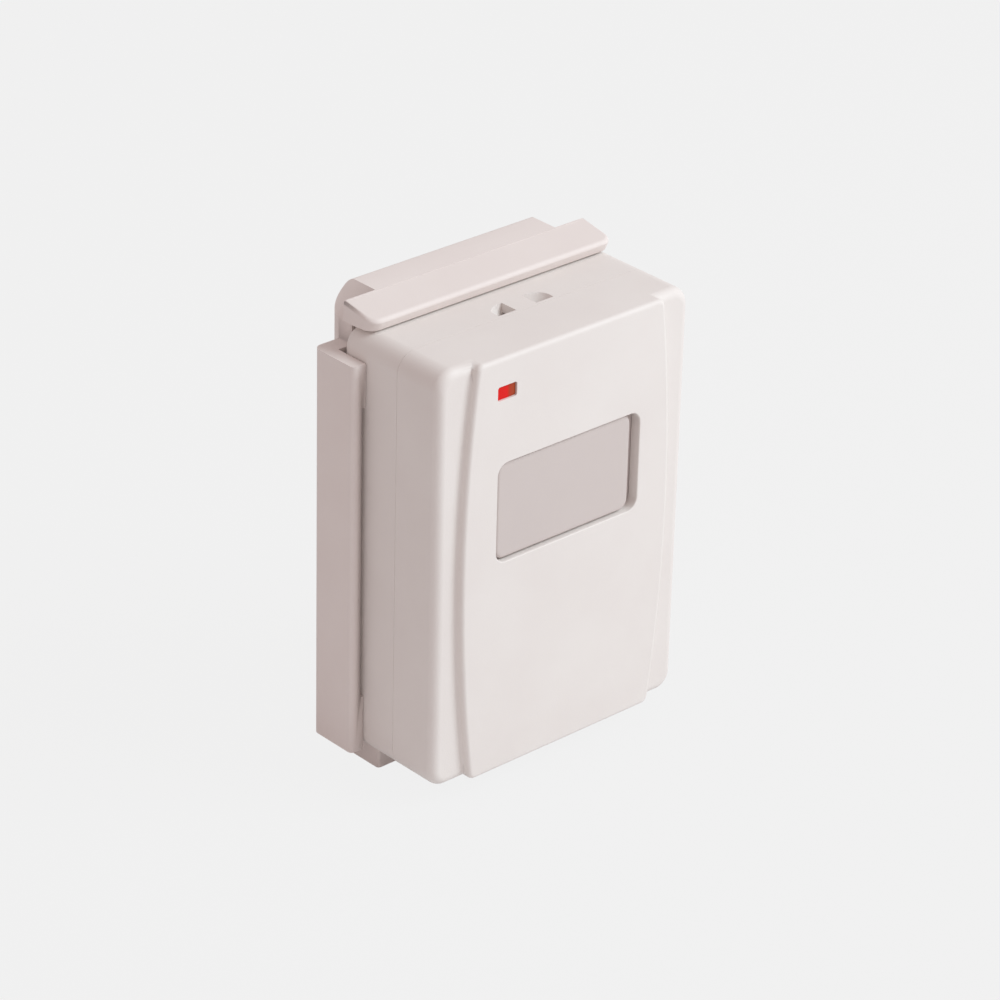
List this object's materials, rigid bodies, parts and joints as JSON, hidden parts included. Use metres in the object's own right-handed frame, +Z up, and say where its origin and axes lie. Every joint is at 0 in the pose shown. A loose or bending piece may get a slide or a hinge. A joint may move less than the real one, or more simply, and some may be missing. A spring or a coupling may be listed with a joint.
{
  "type": "wireless panic button",
  "caption": "Pocket alarm transmitter with a large press button, seated in a wall holder with a sprung hook over its top and countersunk holes.",
  "frame": {"origin": "on the holder's flat rear face, which lies on the wall, on the part's middle plane and halfway between the two wall holes", "axes": "+Y into the wall, so the button faces -Y; +Z up; +X to the right as seen from the front"},
  "size_m": [0.0602, 0.0324, 0.0838],
  "materials": {
    "case_plastic": "fine moulded texture",
    "holder_plastic": "fine moulded texture",
    "button_plastic": "smooth satin",
    "red_lens": "clear red gloss",
    "board_laminate": "green solder mask",
    "dark_component": "moulded epoxy",
    "plunger_plastic": "satin",
    "plated_metal": "nickel plated",
    "capacitor_ceramic": "ceramic",
    "antenna_brass": "drawn wire",
    "battery_sleeve": "shrink sleeve"
  },
  "bodies": {
    "case": {"front_cover": "case_plastic", "rear_cover": "case_plastic", "holder": "holder_plastic", "indicator_lens": "red_lens", "circuit_board": "board_laminate", "switch_body": "dark_component", "switch_terminals": "plated_metal", "indicator_led": "red_lens", "radio_chip": "dark_component", "controller_chip": "dark_component", "crystal": "plated_metal", "voltage_regulator": "dark_component", "board_capacitors": "capacitor_ceramic", "antenna_wire": "antenna_brass", "battery": "battery_sleeve", "positive_contact": "plated_metal", "negative_contact": "plated_metal", "battery_spring": "plated_metal", "case_screws": "plated_metal", "board_screws": "plated_metal"},
    "button": {"alarm_button": "button_plastic"},
    "plunger": {"switch_plunger": "plunger_plastic"}
  },
  "joints": [
    {"name": "button_press", "type": "slide", "parent": "case", "child": "button", "axis": [0, 1, 0], "range_m": [0, 0.001], "stiffness_N_per_m": 1500, "springref_m": -0.0005},
    {"name": "plunger_press", "type": "slide", "parent": "case", "child": "plunger", "axis": [0, 1, 0], "range_m": [0, 0.001]}
  ],
  "couplings": [
    {"joint": "plunger_press", "follows": "button_press", "ratio": 1}
  ]
}
